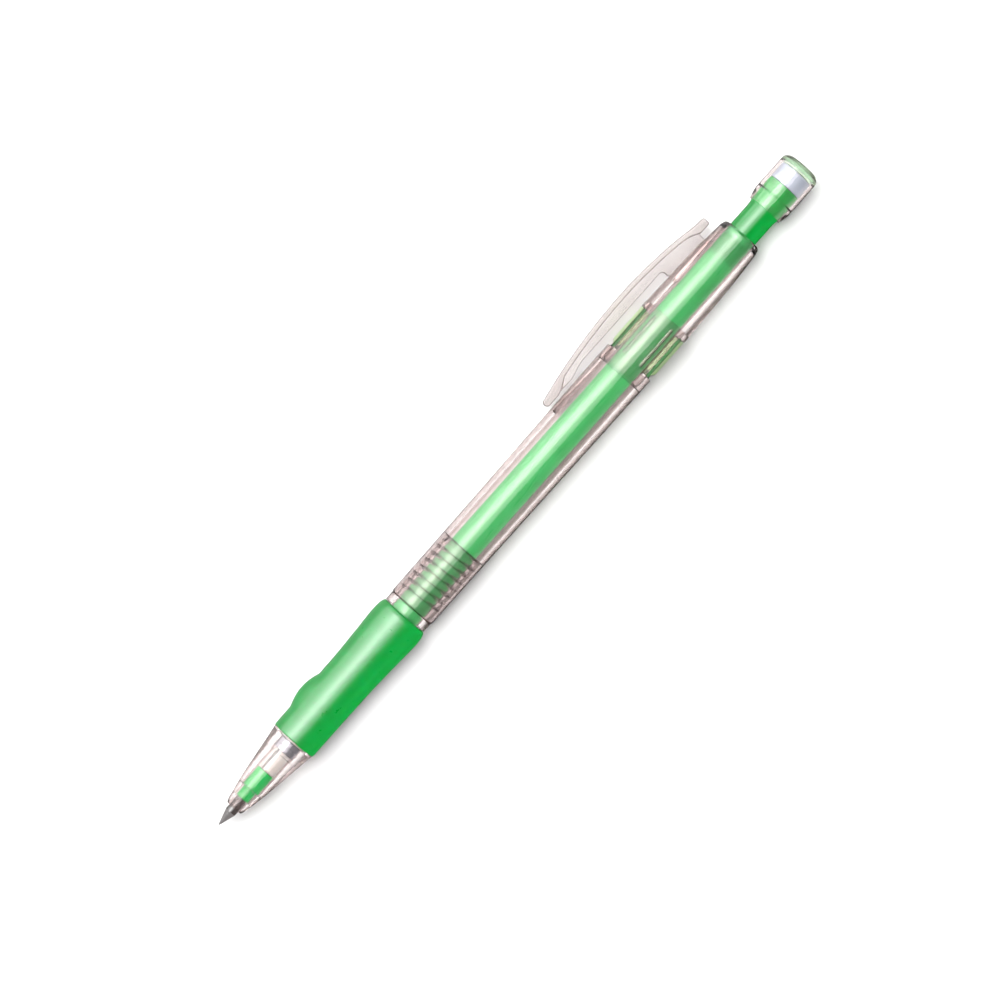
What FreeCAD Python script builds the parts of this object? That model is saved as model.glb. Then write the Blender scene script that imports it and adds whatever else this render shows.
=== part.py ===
"""Push-button lead holder for 2 mm leads, with a clear body, a rubber grip and a moulded clip.

It lies on its side: the axis runs along X with the writing end at -X, the clip points to +Y and Z is up.
Every turned piece is drawn as an outline of (station, radius) pairs. A station is the distance in mm from
the lead's point along the axis. The origin is under the middle of the whole object.
"""

import FreeCAD, Part
import Sketcher
import math
import os
import re

NODES = []
doc = FreeCAD.newDocument("lead_holder")

DIMENSIONS = {
    # whole object
    "overall_length": 146.8,
    "running_gap": 0.06,
    "press_gap": 0.01,
    "seat_gap": 0.02,
    "stop_gap": 0.05,
    "cut_margin": 1.0,
    # lead
    "lead_radius": 1.0,
    "lead_point_radius": 0.08,
    "lead_cone_length": 2.9,
    "lead_length": 119.0,
    # clear front section: outside
    "nose_front": 3.8,
    "nose_front_radius": 1.44,
    "nose_lip": 4.45,
    "nose_lip_radius": 1.74,
    "nose_round": 0.6,
    "nose_curve": 70.0,
    "nose_middle": 11.7,
    "nose_middle_radius": 3.05,
    "grip_front": 18.75,
    "nose_rear_radius": 4.03,
    "parting_gap": 0.1,
    "grip_seat_radius": 3.3,
    "grip_rear": 46.7,
    "collar_radius": 4.2,
    "parting_line": 48.5,
    "spigot_end": 61.3,
    "spigot_radius": 3.42,
    "thread_crest_radius": 3.82,
    "thread_start": 50.3,
    "thread_pitch": 1.48,
    "thread_turns": 6.5,
    "thread_root_half": 0.45,
    "thread_crest_half": 0.12,
    "thread_sink": 0.1,
    # clear front section: stepped bore
    "guide_end": 5.9,
    "guide_bore": 1.28,
    "slider_end": 8.05,
    "slider_bore": 1.68,
    "jaw_chamber_end": 15.7,
    "jaw_chamber_bore": 1.95,
    "ring_chamber_end": 18.5,
    "ring_chamber_bore": 2.12,
    "mechanism_bore": 2.9,
    # rubber grip
    "grip_front_radius": 4.18,
    "grip_edge": 0.3,
    "grip_rear_gap": 0.1,
    "grip_waist": 33.0,
    "grip_waist_radius": 4.26,
    "swell_start": 39.5,
    "swell_start_radius": 4.5,
    "swell_station": 44.2,
    "swell_radius": 4.72,
    "grip_rear_radius": 4.32,
    "bump_station": 26.0,
    "bump_half_length": 4.6,
    "bump_half_width": 2.9,
    "bump_height": 2.05,
    "bump_sink": 3.0,
    # lead retainer in the nose
    "retainer_front": 5.96,
    "retainer_rear": 11.9,
    "retainer_bore": 1.03,
    # chuck and clutch
    "jaw_front": 11.96,
    "jaw_head_radius": 1.6,
    "jaw_head_end": 15.5,
    "jaw_seat_radius": 1.5,
    "jaw_seat": 16.2,
    "jaw_neck": 17.5,
    "jaw_neck_radius": 1.38,
    "jaw_root": 22.0,
    "jaw_bore": 1.01,
    "jaw_sector": 104.0,
    "jaw_lead_in": 0.3,
    "jaw_lead_in_rise": 0.2,
    "jaw_gap": 0.03,
    "ring_front": 16.3,
    "ring_rear": 18.45,
    "ring_radius": 2.05,
    "ring_bore": 1.53,
    "ring_chamfer": 0.15,
    "stem_bore": 1.08,
    "stem_end": 43.0,
    "sleeve_rear": 24.2,
    "sleeve_lip": 0.9,
    "sleeve_bore": 1.56,
    "spring_clearance": 0.15,
    # return spring
    "spring_front": 24.25,
    "spring_rear": 38.45,
    "spring_coil_radius": 2.05,
    "spring_wire_radius": 0.22,
    "spring_turns": 9.0,
    # lead tube and its connector
    "connector_front": 38.5,
    "connector_flange_end": 40.0,
    "connector_flange_radius": 2.6,
    "connector_end": 47.5,
    "tube_radius": 2.64,
    "tube_bore": 2.2,
    # clear barrel
    "barrel_front_radius": 4.32,
    "barrel_edge": 0.15,
    "barrel_middle": 66.7,
    "barrel_middle_radius": 4.43,
    "barrel_full": 103.0,
    "barrel_rear_radius": 4.7,
    "barrel_rear": 112.7,
    "thread_bore": 3.88,
    "thread_bore_end": 62.3,
    "barrel_bore": 3.55,
    "socket_front": 100.4,
    "socket_bore": 3.92,
    "window_front": 103.0,
    "window_rear": 111.6,
    "window_width": 4.4,
    # clear clip sleeve
    "sleeve_spigot_front": 100.6,
    "sleeve_spigot_radius": 3.88,
    "sleeve_lead_in": 0.6,
    "sleeve_lead_in_rise": 0.2,
    "rear_sleeve_front": 112.75,
    "rear_sleeve_radius": 4.66,
    "rear_sleeve_middle": 123.5,
    "rear_sleeve_middle_radius": 4.36,
    "rear_sleeve_shoulder": 130.0,
    "rear_sleeve_shoulder_radius": 3.94,
    "rear_sleeve_round": 2.2,
    "rear_sleeve_end": 131.5,
    "rear_sleeve_end_radius": 3.2,
    "rear_sleeve_bore": 3.0,
    "button_guide": 128.4,
    "button_guide_bore": 2.77,
    "button_guide_ramp": 0.25,
    "barb_front": 103.6,
    "barb_rear": 111.4,
    "barb_radius": 4.5,
    "barb_ramp": 1.6,
    "barb_foot": 3.5,
    "barb_width": 4.0,
    # clip
    "clip_tip_low": 5.1,
    "clip_tip_high": 6.44,
    "clip_tip_round": 0.69,
    "clip_tip_bottom": 89.1,
    "clip_tip_top": 88.85,
    "clip_peak": 110.5,
    "clip_peak_radius": 8.6,
    "clip_split": 117.2,
    "clip_split_radius": 8.26,
    "clip_split_gap": 0.01,
    "clip_underside": 6.0,
    "clip_tooth": 94.9,
    "clip_tooth_end": 96.6,
    "clip_tooth_step": 0.25,
    "clip_tooth_rise": 0.1,
    "clip_tooth_runout": 1.2,
    "clip_front_curve": 112.0,
    "clip_rear_curve": 67.0,
    "clip_slope_end": 125.6,
    "clip_slope_radius": 6.9,
    "clip_slope_curve": 9.0,
    "clip_tail": 129.2,
    "clip_tail_high": 6.6,
    "clip_tail_low": 5.33,
    "slot_end": 117.4,
    "slot_round": 0.72,
    "web_rear": 126.7,
    "web_foot": 3.7,
    "flange_thickness": 0.9,
    "flange_width": 4.4,
    "flange_tip": 92.5,
    "flange_tip_thickness": 0.35,
    "flange_tail": 127.1,
    "rib_width": 1.9,
    # button, eraser and cap
    "button_spigot_front": 125.9,
    "button_spigot_radius": 2.17,
    "button_shoulder": 131.0,
    "button_stem_radius": 2.71,
    "button_flare": 136.2,
    "cup_front": 138.0,
    "cup_radius": 3.02,
    "cup_rear": 142.0,
    "cup_bore": 2.35,
    "cup_floor": 138.2,
    "eraser_head_radius": 2.98,
    "eraser_head": 142.05,
    "eraser_end": 145.2,
    "eraser_round": 0.4,
    "arc_slack": 1.001,
    "cap_front": 137.0,
    "cap_front_radius": 3.2,
    "cap_full": 139.2,
    "cap_radius": 3.65,
    "cap_flare": 5.0,
    "cap_bore": 3.08,
    "cap_lip": 0.6,
    "cap_lip_rise": 0.03,
    "cap_inner_end": 145.5,
    "cap_shoulder": 145.6,
    "cap_crown_radius": 2.45,
    "cap_crown_round": 1.35,
}


def write_sheet():
    """Put the driving dimensions in the document's spreadsheet, one alias a row."""
    sheet = doc.addObject("Spreadsheet::Sheet", "dims")
    for row, (alias, value) in enumerate(DIMENSIONS.items(), start=1):
        sheet.set(f"A{row}", alias.replace("_", " "))
        sheet.set(f"B{row}", str(value))
        sheet.setAlias(f"B{row}", alias)
    doc.recompute()
    return sheet


sheet = write_sheet()


def formula(text):
    """An expression on the sheet: every word that names a dimension gets the sheet's name before it."""
    return re.sub(r"[a-z]\w*", lambda found: prefixed(found[0]), text)


def prefixed(word):
    return f"dims.{word}" if word in DIMENSIONS else word


def value(text):
    """The number that an expression on the sheet gives now."""
    return float(sheet.evalExpression(formula(text)))


def bind(item, path, text):
    item.setExpression(path, formula(text))


def origin_plane(body, role):
    return next(plane for plane in body.Origin.OriginFeatures if plane.Role == role)


def new_body(node):
    """A PartDesign body that stands for one node, placed with its own X axis on the holder's axis."""
    body = doc.addObject("PartDesign::Body", node)
    body.Label = node
    NODES.append(body)
    return body


def place(item, turn=0.0):
    """Move an item from station coordinates to the object's own frame, turned about the axis."""
    item.Placement = FreeCAD.Placement(
        FreeCAD.Vector(), FreeCAD.Rotation(FreeCAD.Vector(1, 0, 0), turn)
    )
    bind(item, "Placement.Base.x", "-overall_length / 2")
    bind(item, "Placement.Base.y", "(swell_radius - clip_peak_radius) / 2")
    bind(item, "Placement.Base.z", "swell_radius")


def level_arc(run, rise):
    """The radius of an arc that covers this run and rise and is level with the axis at one end."""
    return f"(({run})^2 + ({rise})^2) / (2 * ({rise}))"


def arc_through(start, end, radius):
    """The shorter arc from start to end; a positive radius bulges to the left of that direction."""
    half = (end - start) * 0.5
    left = FreeCAD.Vector(-half.y, half.x, 0).normalize()
    reach = math.sqrt(radius * radius - half.Length**2)
    centre = start + half - left * math.copysign(reach, radius)
    first, last = (end, start) if radius > 0 else (start, end)
    angles = [math.atan2(point.y - centre.y, point.x - centre.x) for point in (first, last)]
    if angles[1] < angles[0]:
        angles[1] += 2 * math.pi
    circle = Part.Circle(centre, FreeCAD.Vector(0, 0, 1), abs(radius))
    return Part.ArcOfCircle(circle, angles[0], angles[1])


def draw(body, name, outline, plane="XY_Plane"):
    """A closed sketch. Each corner is (x, y) or (x, y, radius) in sheet expressions, where a radius makes
    the edge to the next corner an arc."""
    sketch = body.newObject("Sketcher::SketchObject", name)
    sketch.AttachmentSupport = [(origin_plane(body, plane), "")]
    sketch.MapMode = "FlatFace"
    corners = [FreeCAD.Vector(value(c[0]), value(c[1]), 0) for c in outline]
    ends = []
    for i, corner in enumerate(corners):
        following = corners[(i + 1) % len(corners)]
        if len(outline[i]) > 2:
            sketch.addGeometry(arc_through(corner, following, value(outline[i][2])), False)
        else:
            sketch.addGeometry(Part.LineSegment(corner, following), False)
        first = sketch.Geometry[i].StartPoint.distanceToPoint(corner) < 1e-6
        ends.append((1, 2) if first else (2, 1))
    for i in range(len(corners)):
        j = (i + 1) % len(corners)
        sketch.addConstraint(Sketcher.Constraint("Coincident", i, ends[i][1], j, ends[j][0]))
    for i, corner in enumerate(corners):
        fix(sketch, "DistanceX", i, ends[i][0], corner.x, outline[i][0])
        fix(sketch, "DistanceY", i, ends[i][0], corner.y, outline[i][1])
        if len(outline[i]) > 2:
            size = abs(value(outline[i][2]))
            index = sketch.addConstraint(Sketcher.Constraint("Radius", i, size))
            bind(sketch, f"Constraints[{index}]", f"abs({outline[i][2]})")
    return sketch


def fix(sketch, kind, edge, end, distance, text):
    """Hold one end of an edge at a distance from the sketch's origin, given by a sheet expression."""
    if abs(distance) < 1e-9:
        axis = -2 if kind == "DistanceX" else -1
        sketch.addConstraint(Sketcher.Constraint("PointOnObject", edge, end, axis))
        return
    index = sketch.addConstraint(Sketcher.Constraint(kind, -1, 1, edge, end, distance))
    bind(sketch, f"Constraints[{index}]", text)


def revolve(body, name, outline, kind="PartDesign::Revolution"):
    """Turn an outline about the axis, to add material or, as a groove, to remove it."""
    sketch = draw(body, name + "_outline", outline)
    turned = body.newObject(kind, name)
    turned.Profile = sketch
    turned.ReferenceAxis = (sketch, ["H_Axis"])
    turned.Angle = 360.0
    return turned


def extrude(body, name, outline, width, kind="PartDesign::Pad", plane="XY_Plane"):
    """Extrude an outline to the same distance on both sides of its plane."""
    sketch = draw(body, name + "_outline", outline, plane)
    extruded = body.newObject(kind, name)
    extruded.Profile = sketch
    extruded.SideType = "Symmetric"
    bind(extruded, "Length", width)
    return extruded


def coil(body, name, outline, pitch, turns, profile=None):
    """Sweep an outline, or a ready sketch, along a helix about the axis."""
    sketch = profile or draw(body, name + "_outline", outline)
    helix = body.newObject("PartDesign::AdditiveHelix", name)
    helix.Profile = sketch
    helix.ReferenceAxis = (sketch, ["H_Axis"])
    helix.Mode = "pitch-turns-angle"
    bind(helix, "Pitch", pitch)
    bind(helix, "Turns", turns)
    return helix


def tube_outline(front, rear, outer, inner):
    return [(front, inner), (front, outer), (rear, outer), (rear, inner)]


def lead():
    """A drawing lead sharpened to a cone, partly used."""
    body = new_body("lead")
    revolve(body, "lead_rod", [
        ("0", "0"),
        ("0", "lead_point_radius"),
        ("lead_cone_length", "lead_radius"),
        ("lead_length", "lead_radius"),
        ("lead_length", "0"),
    ])
    place(body)


def front_section():
    """The clear nose: a cone, a seat for the grip, a collar and a threaded spigot, with a stepped bore."""
    body = new_body("front_section")
    revolve(body, "nose", [
        ("nose_front", "guide_bore"),
        ("nose_front", "nose_front_radius", "nose_round"),
        ("nose_lip", "nose_lip_radius", "nose_curve"),
        ("nose_middle", "nose_middle_radius", "nose_curve"),
        ("grip_front", "nose_rear_radius"),
        ("grip_front", "grip_seat_radius"),
        ("grip_rear", "grip_seat_radius"),
        ("grip_rear", "collar_radius"),
        ("parting_line - parting_gap", "collar_radius"),
        ("parting_line - parting_gap", "spigot_radius"),
        ("spigot_end", "spigot_radius"),
        ("spigot_end", "mechanism_bore"),
        ("ring_chamber_end", "mechanism_bore"),
        ("ring_chamber_end", "ring_chamber_bore"),
        ("jaw_chamber_end", "ring_chamber_bore"),
        ("jaw_chamber_end", "jaw_chamber_bore"),
        ("slider_end", "jaw_chamber_bore"),
        ("slider_end", "slider_bore"),
        ("guide_end", "slider_bore"),
        ("guide_end", "guide_bore"),
    ])
    coil(body, "thread", [
        ("thread_start - thread_root_half", "spigot_radius - thread_sink"),
        ("thread_start - thread_crest_half", "thread_crest_radius"),
        ("thread_start + thread_crest_half", "thread_crest_radius"),
        ("thread_start + thread_root_half", "spigot_radius - thread_sink"),
    ], "thread_pitch", "thread_turns")
    place(body)


def grip():
    """The rubber sleeve: a waist, a swell at the rear and one finger bump on the clip's side."""
    body = new_body("grip")
    revolve(body, "grip_skin", [
        ("grip_front + stop_gap", "0"),
        ("grip_front + stop_gap", "grip_front_radius - grip_edge"),
        ("grip_front + stop_gap + grip_edge", "grip_front_radius"),
        ("grip_waist", "grip_waist_radius",
         "-" + level_arc("swell_start - grip_waist", "swell_start_radius - grip_waist_radius")),
        ("swell_start", "swell_start_radius",
         level_arc("swell_station - swell_start", "swell_radius - swell_start_radius")),
        ("swell_station", "swell_radius",
         level_arc("grip_rear - grip_rear_gap - swell_station", "swell_radius - grip_rear_radius")),
        ("grip_rear - grip_rear_gap", "grip_rear_radius"),
        ("grip_rear - grip_rear_gap", "0"),
    ])
    bump = body.newObject("PartDesign::AdditiveEllipsoid", "finger_bump")
    bump.Angle1, bump.Angle2, bump.Angle3 = -90, 90, 360
    bind(bump, "Radius1", "bump_height")
    bind(bump, "Radius2", "bump_half_length")
    bind(bump, "Radius3", "bump_half_width")
    bump.AttachmentSupport = [(origin_plane(body, "XY_Plane"), "")]
    bump.MapMode = "FlatFace"
    bump.AttachmentOffset = FreeCAD.Placement(
        FreeCAD.Vector(value("bump_station"), value("bump_sink"), 0),
        FreeCAD.Rotation(FreeCAD.Vector(1, 0, 0), -90),
    )
    bind(bump, "AttachmentOffset.Base.x", "bump_station")
    bind(bump, "AttachmentOffset.Base.y", "bump_sink")
    revolve(body, "grip_bore", [
        ("grip_front - cut_margin", "0"),
        ("grip_front - cut_margin", "grip_seat_radius + press_gap"),
        ("grip_rear + cut_margin", "grip_seat_radius + press_gap"),
        ("grip_rear + cut_margin", "0"),
    ], "PartDesign::Groove")
    place(body)


def lead_retainer():
    """The slider that holds the lead while the chuck is open: a narrow nose on a wider body."""
    body = new_body("lead_retainer")
    revolve(body, "retainer", [
        ("retainer_front", "retainer_bore"),
        ("retainer_front", "guide_bore - running_gap"),
        ("slider_end", "guide_bore - running_gap"),
        ("slider_end", "slider_bore - running_gap"),
        ("retainer_rear", "slider_bore - running_gap"),
        ("retainer_rear", "retainer_bore"),
    ])
    place(body)


def chuck_jaws():
    """Three sprung fingers that close on the lead when the clutch ring slides up their taper."""
    for number in (1, 2, 3):
        body = new_body(f"chuck_jaw_{number}")
        jaw = revolve(body, f"finger_{number}", [
            ("jaw_front", "jaw_bore"),
            ("jaw_front", "jaw_head_radius - jaw_lead_in_rise"),
            ("jaw_front + jaw_lead_in", "jaw_head_radius"),
            ("jaw_head_end", "jaw_head_radius"),
            ("jaw_seat", "jaw_seat_radius"),
            ("jaw_neck", "jaw_neck_radius"),
            ("jaw_root - jaw_gap", "jaw_neck_radius"),
            ("jaw_root - jaw_gap", "jaw_bore"),
        ])
        jaw.Midplane = True
        bind(jaw, "Angle", "jaw_sector")
        place(body, 120.0 * (number - 1))


def chuck_stem():
    """The tube behind the jaws that carries them and reaches back into the connector."""
    body = new_body("chuck_stem")
    revolve(body, "stem", tube_outline("jaw_root", "stem_end", "jaw_neck_radius", "stem_bore"))
    place(body)


def clutch_ring():
    """The metal ring round the chuck."""
    body = new_body("clutch_ring")
    revolve(body, "ring", [
        ("ring_front", "ring_bore"),
        ("ring_front", "ring_radius - ring_chamfer"),
        ("ring_front + ring_chamfer", "ring_radius"),
        ("ring_rear - ring_chamfer", "ring_radius"),
        ("ring_rear", "ring_radius - ring_chamfer"),
        ("ring_rear", "ring_bore"),
    ])
    place(body)


def clutch_sleeve():
    """The fixed seat between the ring and the spring, with a deeper skirt round the spring's front turn."""
    body = new_body("clutch_sleeve")
    revolve(body, "seat", [
        ("ring_chamber_end", "sleeve_bore"),
        ("ring_chamber_end", "mechanism_bore - running_gap"),
        ("sleeve_rear + sleeve_lip", "mechanism_bore - running_gap"),
        ("sleeve_rear + sleeve_lip", "spring_coil_radius + spring_wire_radius + spring_clearance"),
        ("sleeve_rear", "spring_coil_radius + spring_wire_radius + spring_clearance"),
        ("sleeve_rear", "sleeve_bore"),
    ])
    place(body)


def return_spring():
    """The wire coil that pushes the lead tube back."""
    body = new_body("return_spring")
    wire = body.newObject("Sketcher::SketchObject", "wire_outline")
    wire.AttachmentSupport = [(origin_plane(body, "XY_Plane"), "")]
    wire.MapMode = "FlatFace"
    centre = FreeCAD.Vector(value("spring_front + spring_wire_radius"), value("spring_coil_radius"), 0)
    wire.addGeometry(Part.Circle(centre, FreeCAD.Vector(0, 0, 1), value("spring_wire_radius")), False)
    size = wire.addConstraint(Sketcher.Constraint("Radius", 0, value("spring_wire_radius")))
    bind(wire, f"Constraints[{size}]", "spring_wire_radius")
    fix(wire, "DistanceX", 0, 3, centre.x, "spring_front + spring_wire_radius")
    fix(wire, "DistanceY", 0, 3, centre.y, "spring_coil_radius")
    pitch = "(spring_rear - spring_front - 2 * spring_wire_radius) / spring_turns"
    coil(body, "wire", None, pitch, "spring_turns", wire)
    place(body)


def tube_connector():
    """The plug that joins the chuck's stem to the lead tube, with a flange for the spring."""
    body = new_body("tube_connector")
    revolve(body, "plug", [
        ("connector_front", "jaw_neck_radius + press_gap"),
        ("connector_front", "connector_flange_radius"),
        ("connector_flange_end", "connector_flange_radius"),
        ("connector_flange_end", "tube_bore - press_gap"),
        ("connector_end", "tube_bore - press_gap"),
        ("connector_end", "stem_bore"),
        ("stem_end + seat_gap", "stem_bore"),
        ("stem_end + seat_gap", "jaw_neck_radius + press_gap"),
    ])
    place(body)


def reservoir_tube():
    """The long tube that holds the lead."""
    body = new_body("reservoir_tube")
    revolve(body, "tube", tube_outline(
        "connector_flange_end + seat_gap", "button_shoulder - stop_gap", "tube_radius", "tube_bore"))
    place(body)


def barrel():
    """The clear outer tube, with a bore for the threaded spigot, a socket and two snap windows."""
    body = new_body("barrel")
    revolve(body, "barrel_wall", [
        ("parting_line", "thread_bore"),
        ("parting_line", "barrel_front_radius - barrel_edge"),
        ("parting_line + barrel_edge", "barrel_front_radius"),
        ("barrel_middle", "barrel_middle_radius"),
        ("barrel_full", "barrel_rear_radius"),
        ("barrel_rear", "barrel_rear_radius"),
        ("barrel_rear", "socket_bore"),
        ("socket_front", "socket_bore"),
        ("socket_front", "barrel_bore"),
        ("thread_bore_end", "barrel_bore"),
        ("thread_bore_end", "thread_bore"),
    ])
    extrude(body, "snap_windows", [
        ("window_front", "-window_width / 2"),
        ("window_rear", "-window_width / 2"),
        ("window_rear", "window_width / 2"),
        ("window_front", "window_width / 2"),
    ], "4 * barrel_rear_radius", "PartDesign::Pocket", "XZ_Plane")
    place(body)


def clip_sleeve():
    """The clear rear sleeve that snaps into the barrel, with the clip's root and tail moulded on."""
    body = new_body("clip_sleeve")
    revolve(body, "rear_wall", [
        ("sleeve_spigot_front", "rear_sleeve_bore"),
        ("sleeve_spigot_front", "sleeve_spigot_radius - sleeve_lead_in_rise"),
        ("sleeve_spigot_front + sleeve_lead_in", "sleeve_spigot_radius"),
        ("rear_sleeve_front", "sleeve_spigot_radius"),
        ("rear_sleeve_front", "rear_sleeve_radius"),
        ("rear_sleeve_middle", "rear_sleeve_middle_radius"),
        ("rear_sleeve_shoulder", "rear_sleeve_shoulder_radius", "rear_sleeve_round"),
        ("rear_sleeve_end", "rear_sleeve_end_radius"),
        ("rear_sleeve_end", "button_guide_bore"),
        ("button_guide", "button_guide_bore"),
        ("button_guide - button_guide_ramp", "rear_sleeve_bore"),
    ])
    barb = extrude(body, "snap_barb", [
        ("barb_front", "barb_foot"),
        ("barb_front", "sleeve_spigot_radius"),
        ("barb_front + barb_ramp", "barb_radius"),
        ("barb_rear", "barb_radius"),
        ("barb_rear", "barb_foot"),
    ], "barb_width")
    pair = body.newObject("PartDesign::PolarPattern", "snap_barbs")
    pair.Originals = [barb]
    pair.Axis = (barb.Profile[0], ["H_Axis"])
    pair.Angle = 360
    pair.Occurrences = 2
    body.Tip = pair
    extrude(body, "clip_root", [
        ("clip_split", "clip_underside"),
        ("clip_split", "clip_split_radius", "clip_rear_curve"),
        ("clip_slope_end", "clip_slope_radius", "-clip_slope_curve"),
        ("clip_tail", "clip_tail_high"),
        ("clip_tail", "clip_tail_low"),
        ("web_rear", "clip_tail_low"),
        ("web_rear", "web_foot"),
        ("slot_end", "web_foot"),
        ("slot_end", "clip_underside - 2 * slot_round", "-arc_slack * slot_round"),
        ("slot_end", "clip_underside"),
    ], "rib_width")
    extrude(body, "clip_root_flange", [
        ("clip_split", "clip_split_radius - flange_thickness"),
        ("clip_split", "clip_split_radius", "clip_rear_curve"),
        ("clip_slope_end", "clip_slope_radius", "-clip_slope_curve"),
        ("clip_tail", "clip_tail_high"),
        ("clip_tail", "clip_tail_low"),
        ("flange_tail", "clip_tail_low"),
        ("clip_slope_end", "clip_slope_radius - flange_thickness",
         "flange_thickness - clip_rear_curve"),
    ], "flange_width")
    place(body)


def clip_arm():
    """The sprung arm of the clip: a flange along its top on a narrower rib, with a tooth at its end."""
    body = new_body("clip_arm")
    extrude(body, "arm_rib", [
        ("clip_split - clip_split_gap", "clip_underside"),
        ("clip_tooth_end + clip_tooth_runout", "clip_underside"),
        ("clip_tooth_end", "clip_underside - clip_tooth_step"),
        ("clip_tooth", "clip_tip_low + clip_tooth_rise"),
        ("clip_tip_bottom", "clip_tip_low", "clip_tip_round"),
        ("clip_tip_top", "clip_tip_high", "clip_front_curve"),
        ("clip_peak", "clip_peak_radius", "clip_rear_curve"),
        ("clip_split - clip_split_gap", "clip_split_radius"),
    ], "rib_width")
    extrude(body, "arm_flange", [
        ("clip_split - clip_split_gap", "clip_split_radius - flange_thickness"),
        ("clip_peak", "clip_peak_radius - flange_thickness"),
        ("flange_tip", "clip_tip_high - flange_tip_thickness"),
        ("clip_tip_bottom", "clip_tip_low", "clip_tip_round"),
        ("clip_tip_top", "clip_tip_high", "clip_front_curve"),
        ("clip_peak", "clip_peak_radius", "clip_rear_curve"),
        ("clip_split - clip_split_gap", "clip_split_radius"),
    ], "flange_width")
    place(body)


def button():
    """The push button: a spigot in the lead tube, a stem, and a cup for the eraser."""
    body = new_body("button")
    revolve(body, "button_body", [
        ("button_spigot_front", "0"),
        ("button_spigot_front", "button_spigot_radius"),
        ("button_shoulder", "button_spigot_radius"),
        ("button_shoulder", "button_stem_radius"),
        ("button_flare", "button_stem_radius"),
        ("cup_front", "cup_radius"),
        ("cup_rear", "cup_radius"),
        ("cup_rear", "cup_bore"),
        ("cup_floor", "cup_bore"),
        ("cup_floor", "0"),
    ])
    place(body)


def eraser():
    """The eraser: a tail in the button's cup and a wider head."""
    body = new_body("eraser")
    revolve(body, "rubber", [
        ("cup_floor + stop_gap", "0"),
        ("cup_floor + stop_gap", "cup_bore - press_gap"),
        ("eraser_head", "cup_bore - press_gap"),
        ("eraser_head", "eraser_head_radius"),
        ("eraser_end - eraser_round", "eraser_head_radius", "arc_slack * eraser_round"),
        ("eraser_end", "eraser_head_radius - eraser_round"),
        ("eraser_end", "0"),
    ])
    place(body)


def cap():
    """The clear cap over the eraser, with a flared skirt and a rounded closed end."""
    body = new_body("cap")
    revolve(body, "cap_shell", [
        ("cap_front", "cap_bore - cap_lip_rise"),
        ("cap_front", "cap_front_radius", "cap_flare"),
        ("cap_full", "cap_radius"),
        ("cap_shoulder", "cap_radius", "cap_crown_round"),
        ("overall_length", "cap_crown_radius"),
        ("overall_length", "0"),
        ("cap_inner_end", "0"),
        ("cap_inner_end", "cap_bore"),
        ("cap_front + cap_lip", "cap_bore"),
    ])
    place(body)


def check_and_write():
    """Stop at any failed or invalid object, then write each node's solid."""
    doc.recompute()
    failed = [o.Name for o in doc.Objects if {"Invalid", "Error"} & set(o.State)]
    if failed:
        raise SystemExit(f"these objects failed: {failed}")
    os.makedirs("parts", exist_ok=True)
    for body in NODES:
        shape = body.Shape
        if shape.isNull() or not shape.isValid() or len(shape.Solids) != 1:
            raise SystemExit(f"{body.Label} has no single valid solid")
        shape.exportStep(f"parts/{body.Label}.step")
        box = shape.BoundBox
        print(f"{body.Label:16s} {shape.Volume:9.2f} mm3  x {box.XMin:7.2f} {box.XMax:7.2f}")


for make in (lead, front_section, grip, lead_retainer, chuck_jaws, chuck_stem, clutch_ring, clutch_sleeve,
             return_spring, tube_connector, reservoir_tube, barrel, clip_sleeve, clip_arm, button, eraser,
             cap):
    make()
check_and_write()
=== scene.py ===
"""Looks of the push-button lead holder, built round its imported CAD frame.

It lies along X with its writing point at -X and its clip towards +Y. Most pieces are turned about the
holder's axis from outlines of (station, radius) pairs in mm, where a station is counted along the axis from
the lead's point. Stations and radii are read from the CAD nodes wherever a node has them.
"""
import math

import bmesh
import bpy
from mathutils import Matrix, Vector


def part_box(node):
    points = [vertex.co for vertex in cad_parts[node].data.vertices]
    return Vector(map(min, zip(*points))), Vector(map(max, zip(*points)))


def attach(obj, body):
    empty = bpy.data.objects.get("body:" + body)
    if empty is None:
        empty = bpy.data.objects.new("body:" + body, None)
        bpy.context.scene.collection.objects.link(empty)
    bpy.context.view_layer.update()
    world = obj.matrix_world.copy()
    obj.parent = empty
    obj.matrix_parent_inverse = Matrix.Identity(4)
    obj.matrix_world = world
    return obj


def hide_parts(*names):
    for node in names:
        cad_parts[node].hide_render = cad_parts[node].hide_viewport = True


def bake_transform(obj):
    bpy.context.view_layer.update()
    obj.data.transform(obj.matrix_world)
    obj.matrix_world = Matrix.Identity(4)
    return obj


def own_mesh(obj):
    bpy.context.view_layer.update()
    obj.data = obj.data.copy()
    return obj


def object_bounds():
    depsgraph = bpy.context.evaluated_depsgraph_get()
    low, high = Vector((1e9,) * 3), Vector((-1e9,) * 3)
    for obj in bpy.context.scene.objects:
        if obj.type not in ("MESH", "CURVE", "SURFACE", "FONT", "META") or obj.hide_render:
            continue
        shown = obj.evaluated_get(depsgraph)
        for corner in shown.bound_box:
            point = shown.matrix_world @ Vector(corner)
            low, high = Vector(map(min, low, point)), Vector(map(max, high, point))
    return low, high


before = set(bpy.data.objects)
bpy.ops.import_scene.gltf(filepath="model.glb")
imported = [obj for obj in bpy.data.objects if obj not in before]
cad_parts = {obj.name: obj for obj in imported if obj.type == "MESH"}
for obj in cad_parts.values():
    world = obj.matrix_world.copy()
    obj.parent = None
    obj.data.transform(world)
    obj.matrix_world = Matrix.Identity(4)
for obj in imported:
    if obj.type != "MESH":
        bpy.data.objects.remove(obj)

MM = 0.001
SIDES = 128
CAD_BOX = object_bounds()
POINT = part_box("lead")[0].x
AXIS = (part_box("reservoir_tube")[0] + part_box("reservoir_tube")[1]) / 2


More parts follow.
